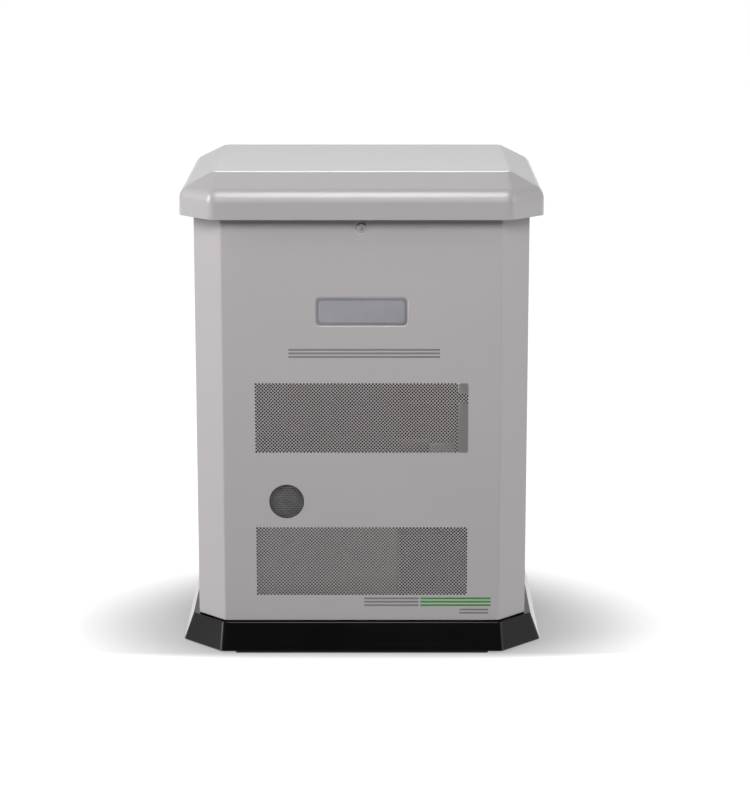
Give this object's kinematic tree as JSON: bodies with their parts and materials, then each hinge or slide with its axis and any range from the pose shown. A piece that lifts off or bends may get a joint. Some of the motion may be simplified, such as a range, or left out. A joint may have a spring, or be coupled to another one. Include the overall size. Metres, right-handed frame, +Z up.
{
  "type": "home standby generator",
  "caption": "Floor-standing standby generator: sheet-metal enclosure on a black base, hinged lid, slide-off vented front panel, V-twin engine, alternator, battery and console inside.",
  "frame": {"origin": "centre of the footprint, on the ground under the base", "axes": "+Z up, front panel faces -Y, +X to the right seen from the front, lid hinge along X at the rear"},
  "size_m": [0.77, 0.637, 1.02],
  "materials": {
    "painted_sheet": "satin powder coat",
    "moulded_base": "black moulded polymer",
    "zinc_steel": "zinc plated",
    "dark_steel": "black e-coat",
    "machined_steel": "machined",
    "cast_aluminium": "as cast",
    "aluminised_steel": "aluminised sheet",
    "exhaust_steel": "heat tinted",
    "guard_steel": "dark woven mesh",
    "black_plastic": "moulded",
    "rubber": "moulded",
    "windings": "enamelled copper",
    "brass": "turned",
    "foam": "acoustic foam",
    "filter_paper": "pleated paper",
    "ceramic": "glazed",
    "filter_paint": "gloss enamel",
    "yellow_plastic": "moulded",
    "red_plastic": "moulded",
    "green_plastic": "moulded"
  },
  "bodies": {
    "enclosure": {"base_pan": "moulded_base", "rear_panel": "painted_sheet", "side_panel_left": "painted_sheet", "side_panel_right": "painted_sheet", "body_vents": "painted_sheet", "corner_posts": "zinc_steel", "top_frame": "zinc_steel", "divider_wall": "dark_steel", "hinge_frame_leaves": "zinc_steel", "hinge_pins": "machined_steel", "enclosure_screws": "zinc_steel", "engine_rails": "dark_steel", "vibration_mounts": "rubber", "crankcase": "cast_aluminium", "cylinder_front": "cast_aluminium", "cylinder_rear": "cast_aluminium", "valve_covers": "dark_steel", "spark_plugs": "ceramic", "blower_housing": "black_plastic", "intake_manifold": "cast_aluminium", "fuel_mixer": "cast_aluminium", "air_cleaner_box": "black_plastic", "air_filter": "filter_paper", "air_cleaner_cover": "black_plastic", "oil_filter": "filter_paint", "starter_motor": "dark_steel", "exhaust_headers": "exhaust_steel", "muffler": "aluminised_steel", "exhaust_guard": "guard_steel", "gas_inlet": "brass", "gas_regulator": "cast_aluminium", "fuel_hose": "rubber", "alternator_frame": "cast_aluminium", "stator_windings": "windings", "alternator_end_bell": "cast_aluminium", "battery": "black_plastic", "battery_hold_down": "dark_steel", "battery_cables": "rubber", "control_box": "dark_steel", "controller": "black_plastic", "breaker_body": "black_plastic", "stay_stud": "machined_steel"},
    "lid": {"lid": "painted_sheet", "lid_liner": "foam", "hinge_lid_leaves": "zinc_steel"},
    "stay": {"lid_stay": "zinc_steel"},
    "front_panel": {"front_panel": "painted_sheet", "front_vents": "painted_sheet", "lock_barrel": "zinc_steel"},
    "lock_cam": {"lock_cam": "zinc_steel"},
    "crank": {"crankshaft": "machined_steel", "flywheel": "cast_aluminium", "rotor": "windings"},
    "breaker_lever": {"breaker_lever": "black_plastic"},
    "mode_switch": {"mode_switch": "black_plastic"},
    "start_button": {"start_button": "green_plastic"},
    "stop_button": {"stop_button": "red_plastic"},
    "gas_valve_lever": {"gas_valve_lever": "yellow_plastic"},
    "air_cleaner_knob": {"air_cleaner_knob": "black_plastic"},
    "oil_cap": {"oil_cap": "yellow_plastic"}
  },
  "joints": [
    {"name": "lid_hinge", "type": "hinge", "parent": "enclosure", "child": "lid", "pos_m": [0, 0.3, 0.935], "axis": [-1, 0, 0], "range_deg": [0, 75]},
    {"name": "stay_pivot", "type": "hinge", "parent": "lid", "child": "stay", "pos_m": [-0.33, 0.15036, 0.94546], "axis": [-1, 0, 0], "range_deg": [-37.5, 0]},
    {"name": "panel_slide", "type": "slide", "parent": "enclosure", "child": "front_panel", "axis": [0, -1, 0], "range_m": [0, 0.3]},
    {"name": "lock_turn", "type": "hinge", "parent": "front_panel", "child": "lock_cam", "pos_m": [0, -0.27, 0.911], "axis": [0, 1, 0], "range_deg": [0, 90]},
    {"name": "crank_spin", "type": "hinge", "parent": "enclosure", "child": "crank", "pos_m": [-0.16, 0.06, 0.255], "axis": [1, 0, 0], "continuous": true},
    {"name": "breaker_toggle", "type": "hinge", "parent": "enclosure", "child": "breaker_lever", "pos_m": [0.287, -0.15517, 0.82186], "axis": [-1, 0, 0], "range_deg": [0, 40]},
    {"name": "mode_turn", "type": "hinge", "parent": "enclosure", "child": "mode_switch", "pos_m": [0.287, -0.19823, 0.77054], "axis": [0, -0.766, 0.6428], "range_deg": [-45, 45]},
    {"name": "start_press", "type": "slide", "parent": "enclosure", "child": "start_button", "axis": [0, 0.766, -0.6428], "range_m": [0, 0.0015], "stiffness_N_per_m": 300, "springref_m": -0.002},
    {"name": "stop_press", "type": "slide", "parent": "enclosure", "child": "stop_button", "axis": [0, 0.766, -0.6428], "range_m": [0, 0.0015], "stiffness_N_per_m": 300, "springref_m": -0.002},
    {"name": "gas_valve_turn", "type": "hinge", "parent": "enclosure", "child": "gas_valve_lever", "pos_m": [0.262, 0.24, 0.2], "axis": [0, 0, -1], "range_deg": [0, 90]},
    {"name": "cleaner_knob_turn", "type": "hinge", "parent": "enclosure", "child": "air_cleaner_knob", "pos_m": [-0.16, 0.06, 0.64], "axis": [0, 0, 1], "continuous": true},
    {"name": "oil_cap_turn", "type": "hinge", "parent": "enclosure", "child": "oil_cap", "pos_m": [-0.145, 0.23324, 0.42824], "axis": [0, 0.7071, 0.7071], "range_deg": [0, 90]}
  ],
  "couplings": [
    {"joint": "stay_pivot", "follows": "lid_hinge", "ratio": -0.5}
  ]
}
